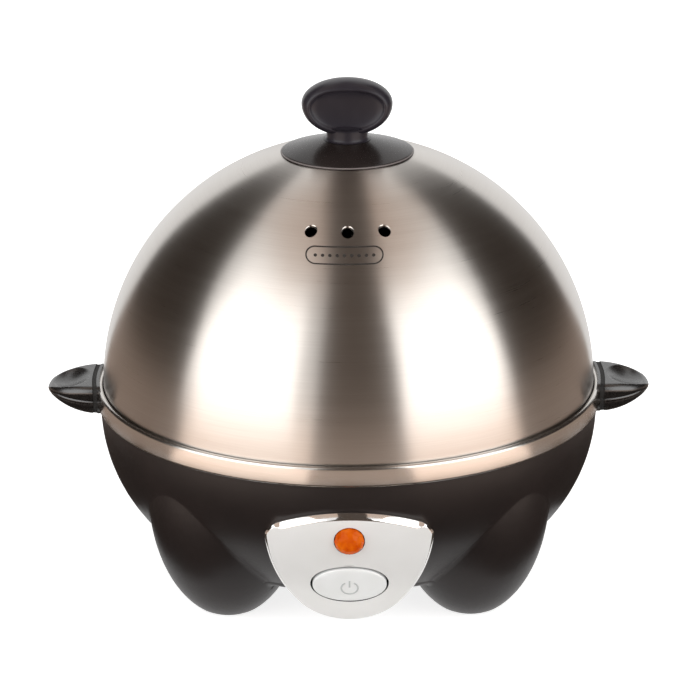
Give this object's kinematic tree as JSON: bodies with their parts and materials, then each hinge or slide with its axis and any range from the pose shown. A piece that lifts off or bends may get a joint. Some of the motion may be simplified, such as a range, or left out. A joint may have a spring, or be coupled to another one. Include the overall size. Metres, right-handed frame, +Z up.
{
  "type": "egg cooker",
  "caption": "Electric egg cooker: steel dome lid with knob and steam vents over an egg rack and water dish, in a black bowl base on legs with side handles and a push-button panel.",
  "frame": {"origin": "on the dome's axis at the level of the feet's undersides, which is the middle of the outer box's bottom to within a millimetre or so", "axes": "+Z up along the dome's axis, -Y towards the control panel, +X to the right seen from the front, through the side handles"},
  "size_m": [0.199, 0.1724, 0.167],
  "materials": {
    "black_plastic": "black moulded plastic, satin",
    "brushed_steel": "stainless steel, brushed round the axis",
    "zinc_steel": "zinc-plated steel",
    "silicone": "red silicone rubber",
    "dish_aluminium": "cast and pressed aluminium, fine satin",
    "heater_sheath": "heat-tinted steel sheath",
    "dark_plastic": "black heat-resistant plastic",
    "brass_parts": "plain brass",
    "foot_rubber": "black rubber",
    "glossy_black": "glossy black phenolic plastic",
    "panel_chrome": "satin chrome plating with a bright edge",
    "button_silver": "silver-painted plastic, satin",
    "amber_lens": "clear orange plastic",
    "lamp_glass": "clear glass",
    "block_ceramic": "glazed white ceramic",
    "rack_steel": "pressed stainless sheet",
    "lead_jacket": "white silicone wire jacket"
  },
  "bodies": {
    "base": {"base_shell": "black_plastic", "rim_band": "brushed_steel", "rim_screws": "zinc_steel", "dish_seal": "silicone", "heating_dish": "dish_aluminium", "heat_spreader": "dish_aluminium", "heater_element": "heater_sheath", "heater_terminals": "zinc_steel", "thermostat": "dark_plastic", "thermostat_screws": "zinc_steel", "thermal_fuse": "brass_parts", "fuse_clip": "zinc_steel", "bottom_cover": "black_plastic", "cover_screws": "zinc_steel", "foot_pads": "foot_rubber", "handle_right": "glossy_black", "handle_left": "glossy_black", "handle_screws": "zinc_steel", "control_panel": "panel_chrome", "panel_screws": "zinc_steel", "switch_bracket": "zinc_steel", "switch_body": "dark_plastic", "indicator_lens": "amber_lens", "lamp_holder": "dark_plastic", "neon_lamp": "lamp_glass", "cord_gland": "foot_rubber", "gland_nut": "dark_plastic", "terminal_block": "block_ceramic", "terminal_screws": "brass_parts", "lead_live": "lead_jacket", "lead_fused": "lead_jacket", "lead_heater": "lead_jacket", "lead_thermostat": "lead_jacket", "lead_neutral": "lead_jacket"},
    "lid": {"lid_dome": "brushed_steel", "knob_escutcheon": "glossy_black", "lid_knob": "glossy_black", "knob_washer": "zinc_steel", "knob_screw": "zinc_steel"},
    "rack": {"egg_rack": "rack_steel"},
    "button": {"power_button": "button_silver", "switch_plunger": "dark_plastic"}
  },
  "joints": [
    {"name": "lid_lift", "type": "slide", "parent": "base", "child": "lid", "axis": [0, 0, 1], "range_m": [0, 0.16]},
    {"name": "rack_lift", "type": "slide", "parent": "base", "child": "rack", "axis": [0, 0, 1], "range_m": [0, 0.08]},
    {"name": "button_press", "type": "slide", "parent": "base", "child": "button", "axis": [0, 0.9262, 0.3771], "range_m": [0, 0.0015], "stiffness_N_per_m": 600}
  ],
  "couplings": [
    {"joint": "rack_lift", "follows": "lid_lift", "ratio": 0.5}
  ]
}
